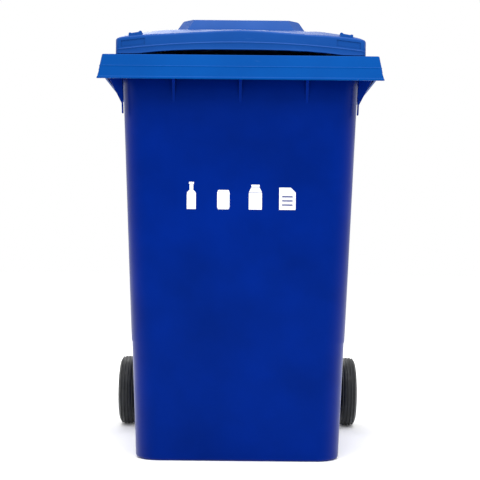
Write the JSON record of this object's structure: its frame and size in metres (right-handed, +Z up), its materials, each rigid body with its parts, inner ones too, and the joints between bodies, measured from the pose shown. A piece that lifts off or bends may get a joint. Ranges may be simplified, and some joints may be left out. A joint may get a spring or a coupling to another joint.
{
  "type": "two-wheeled refuse bin",
  "caption": "Tall tapered plastic refuse bin with a hinged arched lid, a deep front lifting rim, rear hand grips and a wheel at each rear corner on a steel axle.",
  "frame": {"origin": "on the floor, under the middle of the bin's outline", "axes": "+Z up, -Y towards the front, away from the grips and wheels, +X across to the right seen from the front"},
  "size_m": [0.694, 0.86, 1.0937],
  "materials": {
    "body_plastic": "satin, dyed in the mass, fine moulded grain",
    "rim_plastic": "satin, dyed in the mass, fine moulded grain",
    "lid_plastic": "satin, dyed in the mass, fine moulded grain",
    "stop_rubber": "matt black rubber",
    "pin_plastic": "satin black plastic",
    "axle_steel": "zinc-plated bright steel",
    "washer_steel": "zinc-plated steel",
    "hub_plastic": "satin black plastic",
    "tyre_rubber": "solid black rubber",
    "clip_steel": "spring steel",
    "cap_plastic": "satin black plastic",
    "stamp_white": "white hot-stamped foil"
  },
  "bodies": {
    "bin": {"tub": "body_plastic", "comb_rim": "rim_plastic", "rear_handle": "body_plastic", "hinge_lug_left": "body_plastic", "hinge_lug_right": "body_plastic", "axle_housing_left": "body_plastic", "axle_housing_right": "body_plastic", "hinge_pin_left": "pin_plastic", "hinge_pin_right": "pin_plastic", "axle": "axle_steel", "axle_washer_left": "washer_steel", "axle_washer_right": "washer_steel", "axle_clip_left": "clip_steel", "axle_clip_right": "clip_steel", "front_pictograms": "stamp_white"},
    "lid": {"lid": "lid_plastic", "lid_buffers": "stop_rubber"},
    "wheel_left": {"hub_left": "hub_plastic", "tyre_left": "tyre_rubber", "hub_cap_left": "cap_plastic"},
    "wheel_right": {"hub_right": "hub_plastic", "tyre_right": "tyre_rubber", "hub_cap_right": "cap_plastic"}
  },
  "joints": [
    {"name": "lid_hinge", "type": "hinge", "parent": "bin", "child": "lid", "pos_m": [0, 0.408, 1.004], "axis": [-1, 0, 0], "range_deg": [0, 260]},
    {"name": "wheel_left_spin", "type": "hinge", "parent": "bin", "child": "wheel_left", "pos_m": [-0.322, 0.24, 0.1], "axis": [1, 0, 0], "continuous": true},
    {"name": "wheel_right_spin", "type": "hinge", "parent": "bin", "child": "wheel_right", "pos_m": [0.322, 0.24, 0.1], "axis": [1, 0, 0], "continuous": true}
  ]
}
